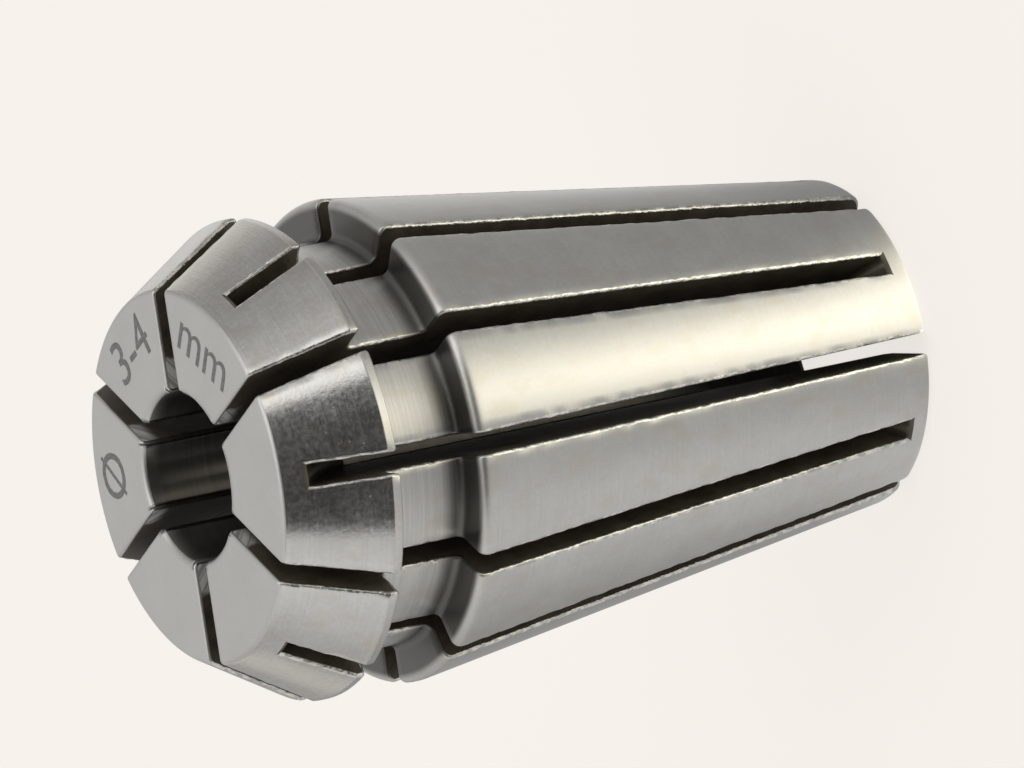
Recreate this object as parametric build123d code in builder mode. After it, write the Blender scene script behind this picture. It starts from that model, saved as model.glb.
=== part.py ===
from build123d import *
from math import radians, sqrt, tan
import os

# A spring collet for a small tool holder: one piece of hardened spring steel, turned all over,
# ground on its taper, bored through, and slotted from both ends with a thin circular saw.
# It stands on its small end. The axis is +Z, and z = 0 is the small end's face.

# Turned form: lengths along the axis from the small end, then diameters
overall_length = 18.0
taper_length = 13.4
groove_width = 2.1
collar_land = 0.25
taper_diameter = 11.5
neck_diameter = 9.56
collar_diameter = 11.36
taper_half_angle = 8.0
nose_half_angle = 30.0

# Bore that grips the tool's shank
bore_diameter = 4.0
bore_mouth_chamfer = 0.1
bore_tail_chamfer = 0.2

# Slots: as many from the nose as from the small end, one between the other
slots_per_end = 6
slot_width = 0.5
nose_web = 0.6
tail_web = 0.6
saw_diameter = 20.0

# Rounded and broken edges
nose_edge_radius = 0.3
groove_corner_radius = 0.18
tail_edge_radius = 0.3
turned_edge_chamfer = 0.1
slot_edge_break = 0.08

# Places that follow from the sizes above
shoulder_radius = taper_diameter / 2
neck_radius = neck_diameter / 2
collar_radius = collar_diameter / 2
bore_radius = bore_diameter / 2
saw_radius = saw_diameter / 2
tail_radius = shoulder_radius - taper_length * tan(radians(taper_half_angle))
collar_back = taper_length + groove_width
cone_start = collar_back + collar_land
face_radius = collar_radius - (overall_length - cone_start) * tan(radians(nose_half_angle))

# The saw is fed along the axis with its rim on the axis, so a slot's closed end is an arc of the saw.
# Each web is measured where that arc leaves the outside of the piece.
tail_web_radius = tail_radius + tail_web * tan(radians(taper_half_angle))
nose_web_radius = face_radius + nose_web * tan(radians(nose_half_angle))
nose_saw_stop = tail_web + sqrt(saw_radius**2 - (saw_radius - tail_web_radius) ** 2)
tail_saw_stop = overall_length - nose_web - sqrt(saw_radius**2 - (saw_radius - nose_web_radius) ** 2)

# Saw travel past each open end, so that the cut leaves the piece cleanly
saw_run_out = 2.0

# Angle from a slot to its neighbour, which is cut from the other end
slot_pitch = 180 / slots_per_end


# Half section of the turned form, from the axis outwards and up from the small end
with BuildSketch() as section:
    with BuildLine() as outline:
        FilletPolyline(
            (0, 0),
            (tail_radius, 0),
            (shoulder_radius, taper_length),
            (neck_radius, taper_length),
            (neck_radius, collar_back),
            (collar_radius, collar_back),
            (collar_radius, cone_start),
            (face_radius, overall_length),
            (0, overall_length),
            radius=(
                0,
                tail_edge_radius,
                0,
                groove_corner_radius,
                groove_corner_radius,
                0,
                0,
                nose_edge_radius,
                0,
            ),
            close=True,
        )
    make_face()
    for corner in ((shoulder_radius, taper_length), (collar_radius, collar_back), (collar_radius, cone_start)):
        chamfer(vertices().sort_by_distance(corner)[0], turned_edge_chamfer)

# The same section drawn in by the depth to which the slots' edges are broken
with BuildSketch() as broken_section:
    add(section.sketch)
    offset(amount=-slot_edge_break, kind=Kind.INTERSECTION, mode=Mode.REPLACE)


with BuildPart() as nose_slot:
    # Path of the saw for a slot that is open at the nose and stops short of the small end
    with BuildSketch(Plane.XZ) as nose_saw_path:
        with Locations((saw_radius, nose_saw_stop)):
            Circle(saw_radius)
        with Locations((0, nose_saw_stop)):
            Rectangle(
                saw_diameter,
                overall_length + saw_run_out - nose_saw_stop,
                align=(Align.MIN, Align.MIN),
            )
    extrude(amount=slot_width / 2, both=True)

    # Its mouth flares over the broken edges, from the saw's cut to the outside of the piece
    nose_mouth_length = overall_length + saw_run_out - tail_web
    with BuildSketch(Plane.XZ.offset(slot_width / 2)) as nose_mouth_start:
        with Locations((bore_radius, tail_web)):
            Rectangle(saw_diameter, nose_mouth_length, align=(Align.MIN, Align.MIN))
        add(broken_section.sketch, mode=Mode.SUBTRACT)
    with BuildSketch(Plane.XZ.offset(slot_width / 2 + slot_edge_break)) as nose_mouth_end:
        with Locations((bore_radius, tail_web)):
            Rectangle(saw_diameter, nose_mouth_length, align=(Align.MIN, Align.MIN))
        add(section.sketch, mode=Mode.SUBTRACT)
    loft(ruled=True)
    mirror(about=Plane.XZ)

with BuildPart() as tail_slot:
    # Path of the saw for a slot that is open at the small end and stops short of the nose
    with BuildSketch(Plane.XZ) as tail_saw_path:
        with Locations((saw_radius, tail_saw_stop)):
            Circle(saw_radius)
        with Locations((0, tail_saw_stop)):
            Rectangle(
                saw_diameter,
                tail_saw_stop + saw_run_out,
                align=(Align.MIN, Align.MAX),
            )
    extrude(amount=slot_width / 2, both=True)

    # Its mouth flares in the same way
    tail_mouth_length = overall_length - nose_web + saw_run_out
    with BuildSketch(Plane.XZ.offset(slot_width / 2)) as tail_mouth_start:
        with Locations((bore_radius, overall_length - nose_web)):
            Rectangle(saw_diameter, tail_mouth_length, align=(Align.MIN, Align.MAX))
        add(broken_section.sketch, mode=Mode.SUBTRACT)
    with BuildSketch(Plane.XZ.offset(slot_width / 2 + slot_edge_break)) as tail_mouth_end:
        with Locations((bore_radius, overall_length - nose_web)):
            Rectangle(saw_diameter, tail_mouth_length, align=(Align.MIN, Align.MAX))
        add(section.sketch, mode=Mode.SUBTRACT)
    loft(ruled=True)
    mirror(about=Plane.XZ)

with BuildPart() as collet:
    # Turned form
    with BuildSketch(Plane.XZ):
        add(section.sketch)
    revolve(axis=Axis.Z)

    # Through bore, with a small chamfer at the nose and a wider one at the small end
    Cylinder(
        bore_radius,
        overall_length,
        align=(Align.CENTER, Align.CENTER, Align.MIN),
        mode=Mode.SUBTRACT,
    )
    bore_mouth = edges().filter_by(GeomType.CIRCLE).group_by(Axis.Z)[-1].sort_by(SortBy.RADIUS)[0]
    chamfer(bore_mouth, bore_mouth_chamfer)
    bore_tail = edges().filter_by(GeomType.CIRCLE).group_by(Axis.Z)[0].sort_by(SortBy.RADIUS)[0]
    chamfer(bore_tail, bore_tail_chamfer)

    # Slots from the nose alternate with those from the small end, and the X axis runs midway
    # between one of each
    with PolarLocations(0, slots_per_end, start_angle=slot_pitch / 2):
        add(nose_slot.part, mode=Mode.SUBTRACT)
    with PolarLocations(0, slots_per_end, start_angle=-slot_pitch / 2):
        add(tail_slot.part, mode=Mode.SUBTRACT)

collet.part.label = "collet"

os.makedirs("parts", exist_ok=True)
export_step(collet.part, "parts/collet.step")
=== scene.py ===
"""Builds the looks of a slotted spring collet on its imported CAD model, as one turned and sawn steel piece."""

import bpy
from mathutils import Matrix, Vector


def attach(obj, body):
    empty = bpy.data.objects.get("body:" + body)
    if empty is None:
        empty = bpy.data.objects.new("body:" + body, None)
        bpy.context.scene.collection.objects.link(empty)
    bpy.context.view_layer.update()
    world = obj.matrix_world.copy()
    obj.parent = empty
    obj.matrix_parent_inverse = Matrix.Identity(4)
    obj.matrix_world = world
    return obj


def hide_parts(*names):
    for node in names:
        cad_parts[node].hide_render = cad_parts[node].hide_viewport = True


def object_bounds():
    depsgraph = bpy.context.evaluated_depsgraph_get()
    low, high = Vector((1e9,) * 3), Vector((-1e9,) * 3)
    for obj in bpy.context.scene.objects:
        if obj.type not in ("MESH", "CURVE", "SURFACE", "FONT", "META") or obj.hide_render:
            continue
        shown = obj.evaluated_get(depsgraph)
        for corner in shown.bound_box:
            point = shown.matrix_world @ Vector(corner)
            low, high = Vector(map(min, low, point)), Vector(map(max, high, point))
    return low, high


bl_info = {
    "name": "Slotted Spring Collet",
    "version": (1, 0, 0),
    "blender": (4, 5, 0),
    "location": "View3D > Sidebar > Collet",
    "description": "Builds a slotted spring collet with its finish, its size marks, a studio and a camera",
    "category": "Object",
}

from math import asin, atan2, cos, pi, radians, sin, sqrt, tan

import bmesh
import bpy
from bpy.props import FloatProperty, FloatVectorProperty, IntProperty, PointerProperty, StringProperty
from mathutils import Matrix, Quaternion, Vector, noise

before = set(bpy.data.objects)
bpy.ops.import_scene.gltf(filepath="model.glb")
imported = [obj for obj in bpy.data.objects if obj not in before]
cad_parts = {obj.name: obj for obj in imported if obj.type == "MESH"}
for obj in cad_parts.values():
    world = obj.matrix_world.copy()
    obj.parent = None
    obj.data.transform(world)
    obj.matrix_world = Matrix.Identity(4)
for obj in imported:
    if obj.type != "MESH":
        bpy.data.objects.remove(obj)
CAD_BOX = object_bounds()

# The meshes are made in millimetres and brought to metres at the end
MM = 1000.0
TO_METRES = Matrix.Scale(1 / MM, 4)


class ColletSizes(bpy.types.PropertyGroup):
    """Sizes of the turned form and of the slots, from the small end up"""

    overall_length: FloatProperty(
        name="Overall length",
        description="From the small end's face to the nose face",
        default=CAD_BOX[1].z,
        unit="LENGTH",
    )
    taper_length: FloatProperty(
        name="Taper length",
        description="From the small end to the shoulder",
        default=0.0134,
        unit="LENGTH",
    )
    groove_width: FloatProperty(
        name="Groove width",
        description="Width of the extraction groove behind the collar",
        default=0.0021,
        unit="LENGTH",
    )
    collar_land: FloatProperty(
        name="Collar land",
        description="Straight part of the collar between the groove and the nose cone",
        default=0.00025,
        unit="LENGTH",
    )
    taper_diameter: FloatProperty(
        name="Taper diameter",
        description="Largest diameter of the taper, at the shoulder",
        default=0.0115,
        unit="LENGTH",
    )
    neck_diameter: FloatProperty(
        name="Neck diameter",
        description="Diameter at the bottom of the extraction groove",
        default=0.00956,
        unit="LENGTH",
    )
    collar_diameter: FloatProperty(
        name="Collar diameter",
        description="Diameter of the collar",
        default=0.01136,
        unit="LENGTH",
    )
    taper_half_angle: FloatProperty(
        name="Taper angle",
        description="Angle between the taper and the axis",
        default=radians(8),
        subtype="ANGLE",
    )
    nose_half_angle: FloatProperty(
        name="Nose angle",
        description="Angle between the nose cone and the axis",
        default=radians(30),
        subtype="ANGLE",
    )
    bore_diameter: FloatProperty(
        name="Bore diameter",
        description="Diameter that grips the tool's shank",
        default=0.004,
        unit="LENGTH",
    )
    bore_mouth_chamfer: FloatProperty(
        name="Bore mouth chamfer",
        description="Chamfer of the bore at the nose",
        default=0.0001,
        unit="LENGTH",
    )
    bore_tail_chamfer: FloatProperty(
        name="Bore tail chamfer",
        description="Chamfer of the bore at the small end",
        default=0.0002,
        unit="LENGTH",
    )
    nose_edge_radius: FloatProperty(
        name="Nose edge radius",
        description="Rounding between the nose face and the cone",
        default=0.00015,
        unit="LENGTH",
    )
    tail_edge_radius: FloatProperty(
        name="Tail edge radius",
        description="Rounding between the small end's face and the taper",
        default=0.0003,
        unit="LENGTH",
    )
    groove_corner_radius: FloatProperty(
        name="Groove corner radius",
        description="Rounding in the two corners of the extraction groove",
        default=0.00018,
        unit="LENGTH",
    )
    turned_edge_radius: FloatProperty(
        name="Turned edge radius",
        description="Rounding of the collar's two outer edges",
        default=0.0001,
        unit="LENGTH",
    )
    shoulder_edge_radius: FloatProperty(
        name="Shoulder edge radius",
        description="Rounding of the shoulder's outer edge",
        default=0.00022,
        unit="LENGTH",
    )
    slots_per_end: IntProperty(
        name="Slots per end",
        description="Saw cuts from the nose, with as many again from the small end",
        default=6,
        min=2,
    )
    slot_width: FloatProperty(
        name="Slot width",
        description="Width of a saw cut",
        default=0.0005,
        unit="LENGTH",
    )
    slot_edge_break: FloatProperty(
        name="Slot edge break",
        description="Width to which the edges along the slots are broken",
        default=0.00008,
        unit="LENGTH",
    )
    nose_web: FloatProperty(
        name="Nose web",
        description="Steel left at the nose by a slot from the small end",
        default=0.0006,
        unit="LENGTH",
    )
    tail_web: FloatProperty(
        name="Tail web",
        description="Steel left at the small end by a slot from the nose",
        default=0.0006,
        unit="LENGTH",
    )
    saw_diameter: FloatProperty(
        name="Saw diameter",
        description="Diameter of the slotting saw, which gives a slot's closed end its arc",
        default=0.02,
        unit="LENGTH",
    )


class ColletFinish(bpy.types.PropertyGroup):
    """Colours and polish of the steel"""

    steel_colour: FloatVectorProperty(
        name="Steel",
        description="Colour of the turned and ground steel",
        default=(0.56, 0.55, 0.525),
        subtype="COLOR",
        min=0.0,
        max=1.0,
    )
    smudge_colour: FloatVectorProperty(
        name="Smudges",
        description="Colour of the steel under faint warm smudges",
        default=(0.53, 0.49, 0.43),
        subtype="COLOR",
        min=0.0,
        max=1.0,
    )
    edge_colour: FloatVectorProperty(
        name="Broken edges",
        description="Colour of the burnished edges along the slots",
        default=(0.62, 0.61, 0.57),
        subtype="COLOR",
        min=0.0,
        max=1.0,
    )
    # The bore's dark colour is painted shade, and the groove corner's painted shade is made from it too
    bore_shade_colour: FloatVectorProperty(
        name="Bore",
        description="Colour of the reamed bore, which holds a film of dark oil",
        default=(0.2, 0.19, 0.17),
        subtype="COLOR",
        min=0.0,
        max=1.0,
    )
    # The slots' dark walls are a brown film and painted shade
    slot_film_shade_colour: FloatVectorProperty(
        name="Slot walls",
        description="Colour of the oily brown film on the sawn walls inside the slots",
        default=(0.085, 0.072, 0.052),
        subtype="COLOR",
        min=0.0,
        max=1.0,
    )
    mark_colour: FloatVectorProperty(
        name="Size marks",
        description="Colour of the laser marks on the nose face",
        default=(0.17, 0.17, 0.16),
        subtype="COLOR",
        min=0.0,
        max=1.0,
    )
    ground_roughness: FloatProperty(
        name="Ground roughness",
        description="Roughness of the ground taper",
        default=0.36,
        min=0.0,
        max=1.0,
    )
    cone_roughness: FloatProperty(
        name="Cone roughness",
        description="Roughness of the nose cone, which is the shiniest part",
        default=0.22,
        min=0.0,
        max=1.0,
    )
    face_roughness: FloatProperty(
        name="Face roughness",
        description="Roughness of the two end faces",
        default=0.4,
        min=0.0,
        max=1.0,
    )
    grain_stretch: FloatProperty(
        name="Grain stretch",
        description="How far the turning grain stretches a highlight across itself",
        default=0.8,
        min=0.0,
        max=1.0,
    )


class ColletMarks(bpy.types.PropertyGroup):
    """Plain size marks on three of the nose face's lands"""

    first: StringProperty(
        name="First mark",
        description="Sign on the first land",
        default="Ø",
    )
    second: StringProperty(
        name="Second mark",
        description="Range that the collet grips",
        default="3-4",
    )
    third: StringProperty(
        name="Third mark",
        description="Unit of the range",
        default="mm",
    )
    height: FloatProperty(
        name="Mark height",
        description="Height of a character",
        default=0.00105,
        unit="LENGTH",
    )
    stroke_gain: FloatProperty(
        name="Stroke gain",
        description="How far each side of a stroke is burnt past the letter's outline",
        default=0.00003,
        unit="LENGTH",
    )
    radius: FloatProperty(
        name="Mark radius",
        description="Distance from the axis to the middle of a mark",
        default=0.0034,
        unit="LENGTH",
    )


class ColletStudio(bpy.types.PropertyGroup):
    """Camera, floor, light tent and light table"""

    camera_azimuth: FloatProperty(
        name="Camera azimuth",
        description="Direction of the camera round the axis, from +X",
        default=radians(-68.76),
        subtype="ANGLE",
    )
    camera_elevation: FloatProperty(
        name="Camera elevation",
        description="Height of the camera over the horizon",
        default=radians(29.21),
        subtype="ANGLE",
    )
    camera_roll: FloatProperty(
        name="Camera roll",
        description="Turn of the camera about its line of sight, which lays the axis across the picture",
        default=radians(-101.66),
        subtype="ANGLE",
    )
    camera_distance: FloatProperty(
        name="Camera distance",
        description="From the point aimed at to the camera",
        default=0.45,
        unit="LENGTH",
    )
    camera_aim: FloatVectorProperty(
        name="Camera aim",
        description="Point in the middle of the picture",
        default=(0.000554, 0.000234, 0.009032),
        subtype="XYZ",
        unit="LENGTH",
    )
    focal_length: FloatProperty(
        name="Focal length",
        description="Focal length of the lens in millimetres, on a 36 mm wide sensor",
        default=677.9,
    )
    tent_brightness: FloatProperty(
        name="Tent",
        description="Even brightness of the white light tent",
        default=0.35,
        min=0.0,
    )
    lens_gap: FloatProperty(
        name="Gap for the lens",
        description="Half the width of the dark gap in the tent that the camera looks through",
        default=radians(33),
        subtype="ANGLE",
    )
    table_brightness: FloatProperty(
        name="Table",
        description="Even brightness of the light table, as the steel reflects it",
        default=0.4,
        min=0.0,
    )
    floor_shade: FloatProperty(
        name="Floor shade",
        description="Share of the light from above that the floor gives back",
        default=0.2,
        min=0.0,
        max=1.0,
    )
    floor_glow: FloatProperty(
        name="Floor glow",
        description="Light that comes through the floor from below",
        default=0.94,
        min=0.0,
    )
    floor_colour: FloatVectorProperty(
        name="Floor",
        description="Colour of the pale floor",
        default=(0.85, 0.81, 0.77),
        subtype="COLOR",
        min=0.0,
        max=1.0,
    )


class ColletSettings(bpy.types.PropertyGroup):
    """All settings of the add-on"""

    sizes: PointerProperty(type=ColletSizes, name="Sizes", description="Sizes of the collet")
    finish: PointerProperty(type=ColletFinish, name="Finish", description="Finish of the steel")
    marks: PointerProperty(type=ColletMarks, name="Marks", description="Marks on the nose face")
    studio: PointerProperty(type=ColletStudio, name="Studio", description="Camera, floor and lights")


class Wire:
    """An output of a shader node. Arithmetic on it adds Math nodes."""

    def __init__(self, shader, socket):
        self.shader = shader
        self.socket = socket

    def math(self, operation, *operands):
        return self.shader.node("ShaderNodeMath", {"operation": operation}, dict(enumerate(operands)))

    def __add__(self, other):
        return self.math("ADD", self, other)

    def __radd__(self, other):
        return self.math("ADD", other, self)

    def __sub__(self, other):
        return self.math("SUBTRACT", self, other)

    def __rsub__(self, other):
        return self.math("SUBTRACT", other, self)

    def __mul__(self, other):
        return self.math("MULTIPLY", self, other)

    def __rmul__(self, other):
        return self.math("MULTIPLY", other, self)

    def __truediv__(self, other):
        return self.math("DIVIDE", self, other)

    def __rtruediv__(self, other):
        return self.math("DIVIDE", other, self)

    def root(self):
        return self.math("SQRT", self)

    def exponential(self):
        return self.math("EXPONENT", self)

    def swing(self, amount):
        """How far a pattern is from its middle, times an amount."""
        return (self - 0.5) * amount

    def above(self, edge, blur):
        """0 below edge and 1 above it, with a soft step of the width blur."""
        return self.shader.node(
            "ShaderNodeMapRange",
            {"interpolation_type": "SMOOTHSTEP"},
            {"Value": self, "From Min": edge - blur / 2, "From Max": edge + blur / 2},
            output="Result",
        )


# Places of the Mix node's sockets for colours: it has other sockets of the same names for other values
MIX_SHARE, MIX_FIRST, MIX_SECOND = 0, 6, 7
MIXED_COLOUR = 2


def opaque(colour):
    """A colour as a socket takes it. A wire stays as it is."""
    return colour if isinstance(colour, Wire) else (*colour, 1.0)


class Shader:
    """The node tree of one material or of the world, cleared and ready to be filled."""

    def __init__(self, owner):
        owner.use_nodes = True
        self.tree = owner.node_tree
        self.tree.nodes.clear()

    def node(self, kind, settings=None, sockets=None, output=0):
        """Adds a node, sets it up, fills its sockets with values or links, and gives one of its outputs."""
        made = self.tree.nodes.new(kind)
        for name, value in (settings or {}).items():
            setattr(made, name, value)
        for name, value in (sockets or {}).items():
            if isinstance(value, Wire):
                self.tree.links.new(value.socket, made.inputs[name])
            else:
                made.inputs[name].default_value = value
        return Wire(self, made.outputs[output]) if made.outputs else None

    def place(self):
        """X, Y and Z of the shaded point in the piece's own frame, in millimetres."""
        point = self.node("ShaderNodeTexCoord", output="Object")
        parts = self.node("ShaderNodeSeparateXYZ", sockets={0: point})
        return tuple(Wire(self, socket) * MM for socket in parts.socket.node.outputs)

    def noise(self, place, across, along, detail=2.0, roughness=0.5):
        """Noise with so many blotches to a millimetre across the axis and along it."""
        x, y, z = place
        scaled = self.node(
            "ShaderNodeCombineXYZ",
            sockets={"X": x * across, "Y": y * across, "Z": z * along},
        )
        return self.node(
            "ShaderNodeTexNoise",
            sockets={"Vector": scaled, "Scale": 1.0, "Detail": detail, "Roughness": roughness},
        )

    def mix(self, share, first, second):
        """A colour between two, by share."""
        return self.node(
            "ShaderNodeMix",
            {"data_type": "RGBA"},
            {MIX_SHARE: share, MIX_FIRST: opaque(first), MIX_SECOND: opaque(second)},
            output=MIXED_COLOUR,
        )

    def shades(self, share, colour, darkest, lightest):
        """Shades of one colour, by share, from darkest to lightest times as bright as it is."""
        return self.mix(share, Vector(colour) * darkest, Vector(colour) * lightest)

    def bump(self, height, strength, depth):
        """Relief as deep, in metres, as its height goes from 0 to 1."""
        sockets = {"Strength": strength, "Distance": depth, "Height": height}
        return self.node("ShaderNodeBump", sockets=sockets)

    def surface(self, sockets):
        """Ends a material with a principled shader that has these sockets."""
        shader = self.node("ShaderNodeBsdfPrincipled", sockets=sockets)
        self.node("ShaderNodeOutputMaterial", sockets={"Surface": shader})


def new_material(name):
    """A material and its empty node tree."""
    material = bpy.data.materials.new(name)
    return material, Shader(material)


# Quarter turn that lays the stretch of a highlight along the axis, across the turning rings
ACROSS_RINGS = 0.25

# Width of the soft step between the ground taper and the neck, in millimetres. The cone's is twice as wide
SEAM = 0.05

# Painted shade in the groove's corner: its heights over the shoulder, the shoulder's rim that it leaves, and
# its cover
CORNER_SHADE_BOTTOM = -0.09
CORNER_SHADE_TOP = 0.35
CORNER_SHADE_RIM = 0.2
CORNER_SHADE_COVER = 0.85


def turned_steel(finish, sizes):
    """Turned and ground steel: satin on the taper, ringed on the neck, shinier and mottled on the cone, with
    painted shade in the groove's corner.
    """
    material, s = new_material("turned_steel")
    x, y, z = place = s.place()
    radius = (x * x + y * y).root()

    cloud = s.noise(place, across=1.3, along=0.9, detail=3.0, roughness=0.55)
    rings = s.noise((x, y, z - radius), across=0.25, along=14.0, detail=4.0, roughness=0.6)
    grit = s.noise(place, across=9.0, along=9.0, roughness=0.6)
    smudge = s.noise(place, across=1.8, along=1.1, detail=4.0, roughness=0.6)

    shoulder_height = sizes.taper_length * MM
    collar_back = shoulder_height + sizes.groove_width * MM
    cone_start = collar_back + sizes.collar_land * MM
    on_cone = z.above(cone_start - 2 * SEAM, 2 * SEAM)

    # The neck is turned and not ground, so that its rings show more
    on_neck = z.above(shoulder_height + SEAM, SEAM) * (1 - z.above(collar_back - SEAM, SEAM))

    # Painted shade darkens the groove's corner at the shoulder, and fades out up the neck
    shaded_corner = z.above(shoulder_height + CORNER_SHADE_BOTTOM, 0.06) * (1 - z.above(shoulder_height + CORNER_SHADE_TOP, 0.5))
    inside_rim = 1 - radius.above(sizes.taper_diameter * MM / 2 - CORNER_SHADE_RIM, CORNER_SHADE_RIM)

    mottle = cloud * 0.4 + rings.swing(on_neck * 1.2 + 0.3) + grit * 0.3
    bare = s.shades(mottle.above(0.35, 0.35), finish.steel_colour, 0.92, 1.06)
    smudged = s.mix(smudge.above(0.58, 0.16) * 0.5, bare, finish.smudge_colour)
    corner_shade_colour = Vector(finish.bore_shade_colour) * 0.35
    polish = finish.ground_roughness + on_cone * (finish.cone_roughness - finish.ground_roughness)
    height = rings * (0.5 + on_cone * 0.3 + on_neck * 1.5) + grit * (0.15 + on_cone * 0.6)
    s.surface(
        {
            # Base Color darkens the groove's corner with painted shade
            "Base Color": s.mix(shaded_corner * inside_rim * CORNER_SHADE_COVER, smudged, corner_shade_colour),
            "Metallic": 1.0,
            "Roughness": polish + rings.swing(0.08) + cloud.swing(0.08) + grit.swing(0.06 + on_cone * 0.12),
            "Anisotropic": finish.grain_stretch,
            "Anisotropic Rotation": ACROSS_RINGS,
            "Normal": s.bump(height, strength=0.4, depth=0.000006),
        }
    )
    return material


def faced_steel(finish):
    """The even satin of the two end faces, which are lapped flat and show no rings."""
    material, s = new_material("faced_steel")
    place = s.place()
    cloud = s.noise(place, across=0.8, along=0.8, detail=3.0, roughness=0.6)
    grit = s.noise(place, across=14.0, along=14.0, roughness=0.6)
    mottle = (cloud * 0.6 + grit * 0.4).above(0.5, 0.4)
    s.surface(
        {
            "Base Color": s.shades(mottle, finish.steel_colour, 0.95, 1.04),
            "Metallic": 1.0,
            "Roughness": finish.face_roughness + cloud.swing(0.1),
            "Normal": s.bump(grit, strength=0.25, depth=0.000004),
        }
    )
    return material


def bored_steel(finish):
    """The reamed bore, darkened with painted shade, with rings round the axis."""
    material, s = new_material("bored_steel")
    place = s.place()
    rings = s.noise(place, across=0.3, along=9.0, detail=3.0, roughness=0.6)
    film = s.noise(place, across=1.2, along=0.5)
    mottle = (rings * 0.5 + film * 0.5).above(0.5, 0.4)
    s.surface(
        {
            # The dark base colour is painted shade
            "Base Color": s.shades(mottle, finish.bore_shade_colour, 0.8, 1.2),
            "Metallic": 1.0,
            "Roughness": 0.34 + film.swing(0.15),
            "Anisotropic": finish.grain_stretch,
            "Anisotropic Rotation": ACROSS_RINGS,
            "Normal": s.bump(rings, strength=0.35, depth=0.000006),
        }
    )
    return material


# How far from the bore, and how far down from the nose face, the slots' walls show a painted light patch of
# bare steel instead of their dark film
LIT_PATCH_WIDTH = 0.8
LIT_PATCH_DEPTH = 0.4


def sawn_steel(finish, sizes):
    """The slots' walls and floors: a brown film with painted shade, and a painted light patch of bare steel
    with the saw's arcs by the bore's mouth.
    """
    material, s = new_material("sawn_steel")
    x, y, z = place = s.place()
    radius = (x * x + y * y).root()
    across = radius - sizes.saw_diameter * MM / 2
    down = z - sizes.overall_length * MM / 2
    from_saw = (across * across + down * down).root()

    teeth = s.noise((from_saw, 0.0, 0.0), across=6.0, along=0.0, roughness=0.6)
    stain = s.noise(place, across=2.0, along=2.0, detail=3.0, roughness=0.6)
    # Painted light: a patch of bare, lighter steel by the bore's mouth at the nose
    lit_by_bore = 1 - (radius + stain.swing(0.5)).above(sizes.bore_diameter * MM / 2 + LIT_PATCH_WIDTH, 0.15)
    at_nose = z.above(sizes.overall_length * MM - LIT_PATCH_DEPTH, 0.3)

    # Painted shade: the dark brown film on the rest of the walls
    film_and_shade = s.shades(stain.above(0.5, 0.5), finish.slot_film_shade_colour, 0.7, 1.3)
    bare = s.shades(teeth.above(0.5, 0.15), finish.steel_colour, 0.7, 1.4)
    s.surface(
        {
            "Base Color": s.mix(lit_by_bore * at_nose, film_and_shade, bare),
            "Metallic": 0.2,
            "Roughness": 0.45 + stain.swing(0.2),
            "Normal": s.bump(teeth, strength=0.6, depth=0.00002),
        }
    )
    return material


def broken_edge_steel(finish):
    """The slightly beaded edges that tumbling leaves along the slots."""
    material, s = new_material("broken_edge_steel")
    beads = s.noise(s.place(), across=5.0, along=5.0, roughness=0.6)
    s.surface(
        {
            "Base Color": s.shades(beads.above(0.5, 0.3), finish.edge_colour, 0.7, 1.2),
            "Metallic": 1.0,
            "Roughness": 0.34 + beads.swing(0.2),
            "Normal": s.bump(beads, strength=0.8, depth=0.00006),
        }
    )
    return material


def marked_steel(finish):
    """The dull grey that a marking laser leaves."""
    material, s = new_material("marked_steel")
    speckle = s.noise(s.place(), across=12.0, along=12.0, roughness=0.7)
    s.surface(
        {
            "Base Color": s.shades(speckle.above(0.5, 0.5), finish.mark_colour, 0.75, 1.5),
            "Metallic": 0.3,
            "Roughness": 0.6 + speckle.swing(0.2),
        }
    )
    return material


def pale_floor(studio):
    """A matt pale floor of translucent acrylic, lit from below as well, so that shadows stay soft."""
    material, s = new_material("pale_floor")
    s.surface(
        {
            "Base Color": opaque(Vector(studio.floor_colour) * studio.floor_shade),
            "Roughness": 1.0,
            "Specular IOR Level": 0.0,
            "Emission Color": opaque(studio.floor_colour),
            "Emission Strength": studio.floor_glow,
        }
    )
    return material


# Steps round a saw's arc, across a land, round a turned corner and across a broken edge
ARC_STEPS = 14
LAND_COLUMNS = 10
CORNER_STEPS = 6
BEVEL_STEPS = 3

# Points nearer than this are at one place
NEAR = 1e-4

# Longest piece of the section's outline, so that the slots' edges can be uneven
EDGE_STEP = 0.13
BORE_STEP = 0.5

# How far the slots' edges go in and out, and how often
UNEVENNESS = 0.022
BEADS_PER_MM = 3.7

# Places of the finishes in the body's list of materials
TURNED, FACED, BORED, SAWN, BROKEN = range(5)


def tail_radius(sizes):
    """Where the taper would meet the small end's face, but for the rounding."""
    return sizes.taper_diameter / 2 - sizes.taper_length * tan(sizes.taper_half_angle)


def face_radius(sizes):
    """Where the cone would meet the nose face, but for the rounding."""
    cone_start = sizes.taper_length + sizes.groove_width + sizes.collar_land
    return sizes.collar_diameter / 2 - (sizes.overall_length - cone_start) * tan(sizes.nose_half_angle)


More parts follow.
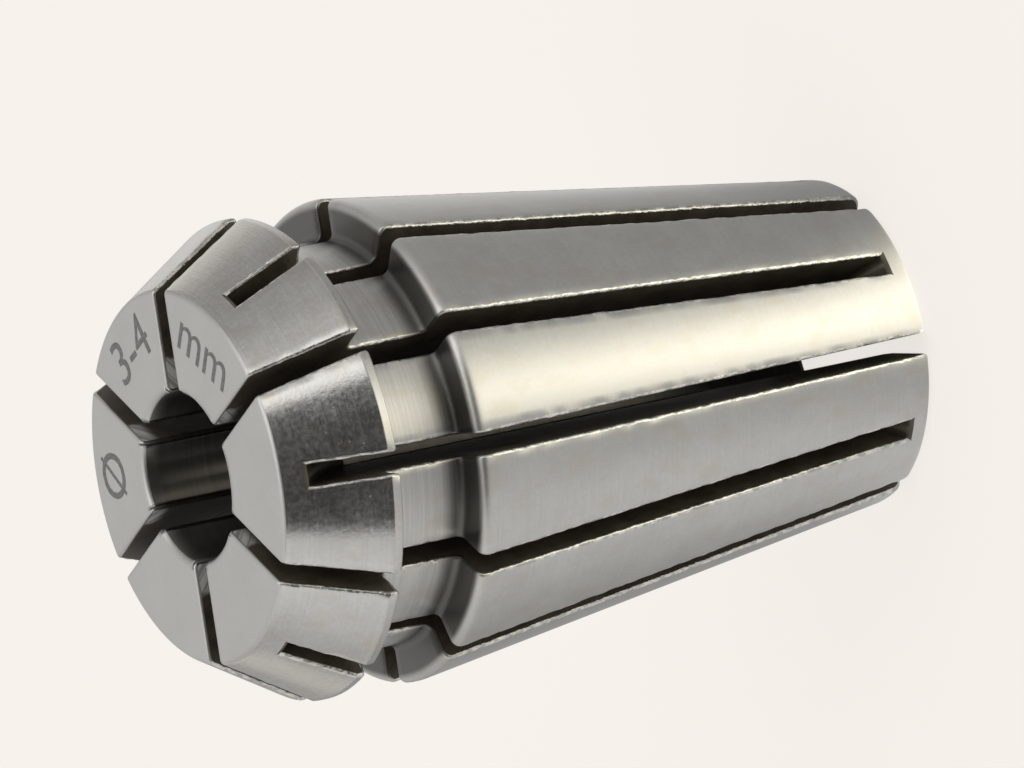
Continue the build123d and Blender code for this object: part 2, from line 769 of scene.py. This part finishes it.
def section_corners(sizes):
    """The half section's corners, from the nose round to the bore: radius, height, rounding."""
    shoulder = sizes.taper_diameter / 2
    neck = sizes.neck_diameter / 2
    collar = sizes.collar_diameter / 2
    bore = sizes.bore_diameter / 2
    length = sizes.overall_length
    shoulder_height = sizes.taper_length
    collar_back = shoulder_height + sizes.groove_width
    cone_start = collar_back + sizes.collar_land
    mouth = sizes.bore_mouth_chamfer
    tail_mouth = sizes.bore_tail_chamfer
    edge = sizes.turned_edge_radius
    corners = [
        (bore + mouth, length, 0),
        (face_radius(sizes), length, sizes.nose_edge_radius),
        (collar, cone_start, edge),
        (collar, collar_back, edge),
        (neck, collar_back, sizes.groove_corner_radius),
        (neck, shoulder_height, sizes.groove_corner_radius),
        (shoulder, shoulder_height, sizes.shoulder_edge_radius),
        (tail_radius(sizes), 0, sizes.tail_edge_radius),
        (bore + tail_mouth, 0, 0),
        (bore, tail_mouth, 0),
        (bore, length - mouth, 0),
    ]
    return [(radius * MM, height * MM, rounding * MM) for radius, height, rounding in corners]


def draw_section(bm, corners):
    """The half section as one loop of edges with rounded corners, in the plane Y = 0."""
    verts = [bm.verts.new((radius, 0, height)) for radius, height, _ in corners]
    face = bm.faces.new(verts)
    for vert, (_, _, rounding) in zip(verts, corners):
        if rounding:
            arms = [edge.other_vert(vert).co - vert.co for edge in vert.link_edges]
            bmesh.ops.bevel(
                bm,
                geom=[vert],
                offset=rounding / tan(arms[0].angle(arms[1]) / 2),
                offset_type="OFFSET",
                segments=CORNER_STEPS,
                profile=0.5,
                affect="VERTICES",
                clamp_overlap=False,
                material=-1,
            )
    bmesh.ops.delete(bm, geom=bm.faces[:], context="FACES_ONLY")


def split_section(bm, height, outside):
    """Puts a vertex on the section at a height, on its outside or in the bore."""
    crossing = [
        edge
        for edge in bm.edges
        if min(v.co.z for v in edge.verts) + NEAR < height < max(v.co.z for v in edge.verts) - NEAR
    ]
    side = max if outside else min
    edge = side(crossing, key=lambda e: e.verts[0].co.x + e.verts[1].co.x)
    start, end = edge.verts
    bmesh.utils.edge_split(edge, start, (height - start.co.z) / (end.co.z - start.co.z))


def divide_section(bm, bore):
    """Divides the section's long edges, finely outside and coarsely in the bore."""
    for edge in bm.edges[:]:
        in_bore = all(v.co.x < bore + NEAR for v in edge.verts)
        cuts = int(edge.calc_length() / (BORE_STEP if in_bore else EDGE_STEP))
        if cuts:
            bmesh.ops.subdivide_edges(bm, edges=[edge], cuts=cuts)


def fan_columns(bm, half_pitch, half_width):
    """Moves the spun columns so that the second and the last but one lie along the saw cuts' walls."""
    for vert in bm.verts:
        radius = vert.co.xy.length
        column = round(atan2(vert.co.y, vert.co.x) / half_pitch * LAND_COLUMNS)
        azimuth = column / LAND_COLUMNS * half_pitch
        if 0 < column < LAND_COLUMNS:
            wall = asin(half_width / radius)
            azimuth = wall + (column - 1) / (LAND_COLUMNS - 2) * (half_pitch - 2 * wall)
        vert.co = (radius * cos(azimuth), radius * sin(azimuth), vert.co.z)


def saw_slot(bm, wall_y, saw_centre, saw_radius, feed):
    """Opens the slot whose middle lies on Y = 0: clears its strip, then adds its wall and its floor."""

    def sawn_away(face):
        middle = face.calc_center_median()
        from_saw = (middle.xz - saw_centre.xz).length
        return (middle.z - saw_centre.z) * feed > 0 or from_saw < saw_radius

    strip = [f for f in bm.faces if all(abs(v.co.y) < abs(wall_y) + NEAR for v in f.verts)]
    bmesh.ops.delete(bm, geom=[f for f in strip if sawn_away(f)], context="FACES")
    rim = [e for e in bm.edges if e.is_boundary and all(abs(v.co.y - wall_y) < NEAR for v in e.verts)]
    ends = [v for v in {v for e in rim for v in e.verts} if sum(e in rim for e in v.link_edges) == 1]
    bore_end, outer_end = sorted(ends, key=lambda v: v.co.x)

    start, finish = (
        atan2(v.co.z - saw_centre.z, v.co.x - saw_centre.x) for v in (bore_end, outer_end)
    )
    sweep = (start - finish + pi) % (2 * pi) - pi
    before = set(bm.edges)
    turned = bmesh.ops.spin(
        bm,
        geom=[bore_end],
        cent=(saw_centre.x, wall_y, saw_centre.z),
        axis=(0, 1, 0),
        angle=sweep,
        steps=ARC_STEPS,
    )
    last = next(g for g in turned["geom_last"] if isinstance(g, bmesh.types.BMVert))
    bmesh.ops.weld_verts(bm, targetmap={last: outer_end})
    arc = [e for e in bm.edges if e not in before]

    middle = [v for v in bm.verts if abs(v.co.y) < NEAR and any(e.is_boundary for e in v.link_edges)]
    floor = bmesh.ops.extrude_edge_only(bm, edges=arc)["geom"]
    new_verts = [g for g in floor if isinstance(g, bmesh.types.BMVert)]
    for vert in new_verts:
        vert.co.y = 0
    targets = {}
    for end in (bore_end, outer_end):
        loose = min(new_verts, key=lambda v: (v.co - end.co).length)
        targets[loose] = min(middle, key=lambda v: (v.co - end.co).length)
    floor_faces = [g for g in floor if isinstance(g, bmesh.types.BMFace)]
    for face in floor_faces:
        face.material_index = SAWN
        face.smooth = True
    bmesh.ops.weld_verts(bm, targetmap=targets)
    wall = bmesh.ops.contextual_create(bm, geom=rim + arc)["faces"]
    for face in wall:
        face.material_index = SAWN
        face.smooth = False


def make_body(sizes):
    """The whole turned and slotted form, in millimetres."""
    saw_radius = sizes.saw_diameter * MM / 2
    half_width = sizes.slot_width * MM / 2
    bore = sizes.bore_diameter * MM / 2
    bore_mouth = sizes.bore_mouth_chamfer * MM
    length = sizes.overall_length * MM
    tail_web = sizes.tail_web * MM
    nose_web = sizes.nose_web * MM
    half_pitch = pi / sizes.slots_per_end

    # Heights of the saw's axis at the end of its feed, so that its rim meets the outside at the webs
    def reach(radius):
        inside = sqrt(radius**2 - half_width**2)
        return sqrt(saw_radius**2 - (saw_radius - inside) ** 2)

    nose_stop = tail_web + reach(tail_radius(sizes) * MM + tail_web * tan(sizes.taper_half_angle))
    tail_stop = length - nose_web - reach(face_radius(sizes) * MM + nose_web * tan(sizes.nose_half_angle))

    bm = bmesh.new()
    draw_section(bm, section_corners(sizes))
    split_section(bm, tail_web, outside=True)
    split_section(bm, length - nose_web, outside=True)
    split_section(bm, nose_stop - reach(bore), outside=False)
    split_section(bm, tail_stop + reach(bore), outside=False)
    divide_section(bm, bore)

    # Half of one slot's share: from the middle of a nose slot to the middle of a tail slot
    bmesh.ops.spin(
        bm,
        geom=bm.edges[:] + bm.verts[:],
        cent=(0, 0, 0),
        axis=(0, 0, 1),
        angle=half_pitch,
        steps=LAND_COLUMNS,
    )
    fan_columns(bm, half_pitch, half_width)
    for face in bm.faces:
        face.smooth = True
        heights = [v.co.z for v in face.verts]
        if max(v.co.xy.length for v in face.verts) < bore + NEAR:
            face.material_index = BORED
        elif min(heights) > length - bore_mouth - NEAR or max(heights) < NEAR:
            face.material_index = FACED

    saw_slot(bm, half_width, Vector((saw_radius, 0, nose_stop)), saw_radius, 1)
    to_tail_slot = Matrix.Rotation(-half_pitch, 3, "Z")
    bmesh.ops.rotate(bm, cent=(0, 0, 0), matrix=to_tail_slot, verts=bm.verts)
    saw_slot(bm, -half_width, Vector((saw_radius, 0, tail_stop)), saw_radius, -1)
    bmesh.ops.rotate(bm, cent=(0, 0, 0), matrix=to_tail_slot.inverted(), verts=bm.verts)

    bmesh.ops.mirror(
        bm,
        geom=bm.verts[:] + bm.edges[:] + bm.faces[:],
        matrix=Matrix.Identity(4),
        merge_dist=NEAR,
        axis="Y",
    )
    bmesh.ops.spin(
        bm,
        geom=bm.verts[:] + bm.edges[:] + bm.faces[:],
        cent=(0, 0, 0),
        axis=(0, 0, 1),
        angle=2 * half_pitch * (sizes.slots_per_end - 1),
        steps=sizes.slots_per_end - 1,
        use_duplicate=True,
    )
    bmesh.ops.remove_doubles(bm, verts=bm.verts, dist=10 * NEAR)
    bmesh.ops.recalc_face_normals(bm, faces=bm.faces)
    return bm


def break_slot_edges(bm, sizes):
    """Rounds the edges where the slots leave the turned form, and makes them slightly uneven."""
    edges = [
        e
        for e in bm.edges
        if len(e.link_faces) == 2 and [f.material_index for f in e.link_faces].count(SAWN) == 1
    ]
    made = bmesh.ops.bevel(
        bm,
        geom=edges,
        offset=sizes.slot_edge_break * MM,
        offset_type="OFFSET",
        segments=BEVEL_STEPS,
        profile=0.5,
        affect="EDGES",
        clamp_overlap=False,
        material=-1,
    )
    bore = sizes.bore_diameter * MM / 2
    length = sizes.overall_length * MM
    width = sizes.slot_edge_break * MM
    half_pitch = pi / sizes.slots_per_end
    shoulder_height = sizes.taper_length * MM
    corner_start = shoulder_height - sizes.shoulder_edge_radius * MM
    corner_end = shoulder_height + 3 * sizes.groove_corner_radius * MM
    for face in made["faces"]:
        middle = face.calc_center_median()
        radius = middle.xy.length
        from_slot = (atan2(middle.y, middle.x) + half_pitch / 2) % half_pitch - half_pitch / 2
        if radius < bore + width:
            face.material_index = BORED
        elif min(middle.z, length - middle.z) < width:
            face.material_index = FACED
        elif abs(radius * sin(from_slot)) < sizes.slot_width * MM / 2:
            face.material_index = SAWN
        elif corner_start < middle.z < corner_end:
            face.material_index = TURNED
        else:
            face.material_index = BROKEN
        face.smooth = True
    bm.normal_update()
    for vert in bm.verts:
        if all(f.material_index == BROKEN for f in vert.link_faces):
            vert.co += vert.normal * UNEVENNESS * noise.noise(vert.co * BEADS_PER_MM)


class COLLET_OT_body(bpy.types.Operator):
    """Makes the turned, bored and slotted steel body"""

    bl_idname = "collet.body"
    bl_label = "Turned and Slotted Body"

    def execute(self, context):
        sizes = context.scene.collet.sizes
        finish = context.scene.collet.finish
        bm = make_body(sizes)
        open_edges = [e for e in bm.edges if not e.is_manifold]
        if open_edges:
            raise RuntimeError(f"the body is not closed: {len(open_edges)} open edges")
        break_slot_edges(bm, sizes)
        between_slots = Matrix.Rotation(pi / sizes.slots_per_end / 2, 3, "Z")
        bmesh.ops.rotate(bm, cent=(0, 0, 0), matrix=between_slots, verts=bm.verts)
        bmesh.ops.transform(bm, matrix=TO_METRES, verts=bm.verts)
        mesh = bpy.data.meshes.new("collet_body")
        bm.to_mesh(mesh)
        bm.free()
        for material in (
            turned_steel(finish, sizes),
            faced_steel(finish),
            bored_steel(finish),
            sawn_steel(finish, sizes),
            broken_edge_steel(finish),
        ):
            mesh.materials.append(material)
        body = bpy.data.objects.new("collet_body", mesh)
        context.scene.collection.objects.link(body)
        weighted = body.modifiers.new("Even shading", "WEIGHTED_NORMAL")
        weighted.mode = "FACE_AREA_WITH_ANGLE"
        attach(body, "root")
        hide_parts("collet")
        return {"FINISHED"}


# A capital's height as a share of the built-in font's size
CAPITAL_SHARE = 0.7

# Height of the marks over the face, in metres, so that they show
MARK_LIFT = 0.000004

# The first mark's land, counted in lands from +X
FIRST_LAND = 1.75


def widen_strokes(mesh, gain):
    """Burns each stroke of a flat mark a little past its outline."""
    bm = bmesh.new()
    bm.from_mesh(mesh)
    bmesh.ops.remove_doubles(bm, verts=bm.verts, dist=NEAR / MM)
    bmesh.ops.inset_region(
        bm,
        faces=bm.faces[:],
        thickness=gain,
        use_boundary=True,
        use_even_offset=True,
        use_outset=True,
    )
    bm.to_mesh(mesh)
    bm.free()


class COLLET_OT_marks(bpy.types.Operator):
    """Marks the gripping range on three lands of the nose face"""

    bl_idname = "collet.marks"
    bl_label = "Size Marks"

    def execute(self, context):
        settings = context.scene.collet
        sizes = settings.sizes
        marks = settings.marks
        material = marked_steel(settings.finish)
        pitch = 2 * pi / sizes.slots_per_end
        for place, words in enumerate((marks.first, marks.second, marks.third)):
            curve = bpy.data.curves.new(f"size_mark_{place + 1}", "FONT")
            curve.body = words
            curve.align_x = "CENTER"
            curve.align_y = "CENTER"
            curve.size = marks.height / CAPITAL_SHARE
            curve.resolution_u = 4
            drawn = bpy.data.objects.new("drawn", curve)
            context.scene.collection.objects.link(drawn)
            context.view_layer.update()
            mesh = bpy.data.meshes.new_from_object(drawn.evaluated_get(context.evaluated_depsgraph_get()))
            bpy.data.objects.remove(drawn)
            widen_strokes(mesh, marks.stroke_gain)
            turn = Matrix.Rotation((FIRST_LAND - place) * pitch - pi / 2, 4, "Z")
            mesh.transform(turn @ Matrix.Translation((0, marks.radius, sizes.overall_length + MARK_LIFT)))
            mesh.name = f"size_mark_{place + 1}"
            mesh.materials.clear()
            mesh.materials.append(material)
            mark = bpy.data.objects.new(mesh.name, mesh)
            context.scene.collection.objects.link(mark)
            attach(mark, "root")
        return {"FINISHED"}


# Lamps behind the tent's cloth: azimuth from the camera and elevation in degrees, tightness, brightness
TENT_LAMPS = {
    "left": (-75, 33, 4, 0.6),
    "rear": (180, 33, 4, 0.42),
    "high_right": (45, 60, 8, 1.5),
    "small_right": (36, 30, 100, 1.2),
}

# Lamps under the light table, each a wedge of glow: azimuth from the camera, tightness, brightness
WHITE_TABLE_LAMPS = {
    "left": (-45, 8, 0.35),
    "far_left": (-80, 12, 0.2),
    "rear": (145, 8, 0.5),
}
WARM_TABLE_LAMPS = {
    "front": (8, 30, 1.8),
    "front_right": (24, 30, 0.6),
}
WHITE = (1.0, 1.0, 1.0)
WARM_WHITE = (1.0, 0.96, 0.8)
BLACK = (0.0, 0.0, 0.0)

# From this far off the axis, in millimetres, the warm lamps lose this share
WARM_REACH = 24.0
WARM_LOSS = 0.4

# The dark gap that the lens looks through: its middle, with the azimuth counted from the camera, the angle
# over which its rim fades, and the share of the cloth's light that it takes
GAP_AZIMUTH = radians(-8)
GAP_ELEVATION = radians(31)
GAP_RIM = radians(4)
GAP_DARKNESS = 0.92

# The stage's round pieces, in metres. Only reflections see the light table, and only the camera sees the
# backdrop, which fills a picture taken from just over the floor
FLOOR_RADIUS = 2.0
TABLE_RADIUS = 0.12
TABLE_HEIGHT = 0.00002
BACKDROP_RADIUS = 0.55
BACKDROP_HEIGHT = 0.02
ROUND_STEPS = 64

# The camera's sensor and the distances between which it sees, in millimetres and metres
SENSOR_WIDTH = 36.0
NEAREST = 0.01
FARTHEST = 10.0


def bearing(azimuth, elevation):
    """The direction of an azimuth and an elevation."""
    return Vector((cos(elevation) * cos(azimuth), cos(elevation) * sin(azimuth), sin(elevation)))


def tent_light(world, studio):
    """A light tent as a world: even white cloth with lamps behind it, and a dark gap for the lens."""
    s = Shader(world)
    toward = s.node("ShaderNodeTexCoord", output="Generated")

    def facing(azimuth, elevation):
        way = bearing(studio.camera_azimuth + azimuth, elevation)
        return s.node(
            "ShaderNodeVectorMath",
            {"operation": "DOT_PRODUCT"},
            {0: toward, 1: way},
            output="Value",
        )

    cloth = studio.tent_brightness
    for azimuth, elevation, tightness, brightness in TENT_LAMPS.values():
        lamp = (facing(radians(azimuth), radians(elevation)) - 1) * tightness
        cloth = lamp.exponential() * brightness + cloth
    gap = facing(GAP_AZIMUTH, GAP_ELEVATION).above(cos(studio.lens_gap), sin(studio.lens_gap) * GAP_RIM)
    light = cloth * (1 - gap * GAP_DARKNESS)
    cloth_light = s.node("ShaderNodeBackground", sockets={"Color": opaque(WHITE), "Strength": light})
    s.node("ShaderNodeOutputWorld", sockets={"Surface": cloth_light})


def table_light(studio, sizes):
    """The light table's glow, which only the steel's reflections see."""
    material, s = new_material("light_table")
    x, y, z = s.place()
    radius = (x * x + y * y).root()

    def glow(lamps):
        total = 0.0
        for azimuth, tightness, brightness in lamps.values():
            way = bearing(studio.camera_azimuth + radians(azimuth), 0)
            facing = (x * way.x + y * way.y) / radius
            total = ((facing - 1) * tightness).exponential() * brightness + total
        return total

    # No glow comes up where the small end covers the table, which keeps the bore dark
    shown = radius.above((tail_radius(sizes) - sizes.tail_edge_radius) * MM, 0.2)
    white = (glow(WHITE_TABLE_LAMPS) + studio.table_brightness) * shown
    warm = glow(WARM_TABLE_LAMPS) * (1 - radius.above(WARM_REACH, WARM_REACH / 4) * WARM_LOSS) * shown
    red, green, blue = (white + warm * share for share in WARM_WHITE)
    s.surface(
        {
            "Base Color": opaque(BLACK),
            "Roughness": 1.0,
            "Specular IOR Level": 0.0,
            "Emission Color": s.node(
                "ShaderNodeCombineColor",
                sockets={"Red": red, "Green": green, "Blue": blue},
            ),
            "Emission Strength": 1.0,
        }
    )
    material.cycles.emission_sampling = "NONE"
    return material


def add_round(scene, name, radius, bottom, top, material):
    """A round piece of the stage: a disc that faces up, or a wall where its top is over its bottom."""
    bm = bmesh.new()
    flat = top == bottom
    rim = bmesh.ops.create_circle(bm, cap_ends=flat, segments=ROUND_STEPS, radius=radius)["verts"]
    bmesh.ops.translate(bm, verts=rim, vec=(0, 0, bottom))
    if not flat:
        raised = bmesh.ops.extrude_edge_only(bm, edges=bm.edges[:])["geom"]
        upper = [g for g in raised if isinstance(g, bmesh.types.BMVert)]
        bmesh.ops.translate(bm, verts=upper, vec=(0, 0, top - bottom))
    mesh = bpy.data.meshes.new(name)
    bm.to_mesh(mesh)
    bm.free()
    mesh.materials.append(material)
    piece = bpy.data.objects.new(name, mesh)
    scene.collection.objects.link(piece)
    return piece


class COLLET_OT_studio(bpy.types.Operator):
    """Sets up the pale floor, the light tent, the light table and the camera"""

    bl_idname = "collet.studio"
    bl_label = "Studio and Camera"

    def execute(self, context):
        scene = context.scene
        studio = scene.collet.studio

        pale = pale_floor(studio)
        add_round(scene, "floor", FLOOR_RADIUS, 0.0, 0.0, pale)
        backdrop = add_round(scene, "backdrop", BACKDROP_RADIUS, 0.0, BACKDROP_HEIGHT, pale)
        backdrop.visible_glossy = False
        glow = table_light(studio, scene.collet.sizes)
        table = add_round(scene, "light_table", TABLE_RADIUS, TABLE_HEIGHT, TABLE_HEIGHT, glow)
        table.visible_camera = False
        for piece in (backdrop, table):
            piece.visible_diffuse = False
            piece.visible_transmission = False
            piece.visible_shadow = False

        scene.world = bpy.data.worlds.new("light_tent")
        tent_light(scene.world, studio)

        lens = bpy.data.cameras.new("camera")
        lens.lens = studio.focal_length
        lens.sensor_width = SENSOR_WIDTH
        lens.clip_start = NEAREST
        lens.clip_end = FARTHEST
        camera = bpy.data.objects.new("camera", lens)
        away = bearing(studio.camera_azimuth, studio.camera_elevation)
        camera.location = Vector(studio.camera_aim) + away * studio.camera_distance
        camera.rotation_mode = "QUATERNION"
        camera.rotation_quaternion = away.to_track_quat("Z", "Y") @ Quaternion((0, 0, 1), studio.camera_roll)
        scene.collection.objects.link(camera)
        scene.camera = camera
        scene.view_settings.view_transform = "Standard"
        return {"FINISHED"}


OPERATORS = (COLLET_OT_body, COLLET_OT_marks, COLLET_OT_studio)


class COLLET_PT_panel(bpy.types.Panel):
    """Lists the steps that build the collet and its studio"""

    bl_idname = "COLLET_PT_panel"
    bl_label = "Collet"
    bl_space_type = "VIEW_3D"
    bl_region_type = "UI"
    bl_category = "Collet"

    def draw(self, context):
        for operator in OPERATORS:
            self.layout.operator(operator.bl_idname)


CLASSES = (
    ColletSizes,
    ColletFinish,
    ColletMarks,
    ColletStudio,
    ColletSettings,
    *OPERATORS,
    COLLET_PT_panel,
)


def register():
    for each in CLASSES:
        bpy.utils.register_class(each)
    bpy.types.Scene.collet = PointerProperty(type=ColletSettings)


def unregister():
    del bpy.types.Scene.collet
    for each in reversed(CLASSES):
        bpy.utils.unregister_class(each)


def main():
    register()
    bpy.ops.collet.body()
    bpy.ops.collet.marks()
    bpy.ops.collet.studio()


if __name__ == "__main__":
    main()
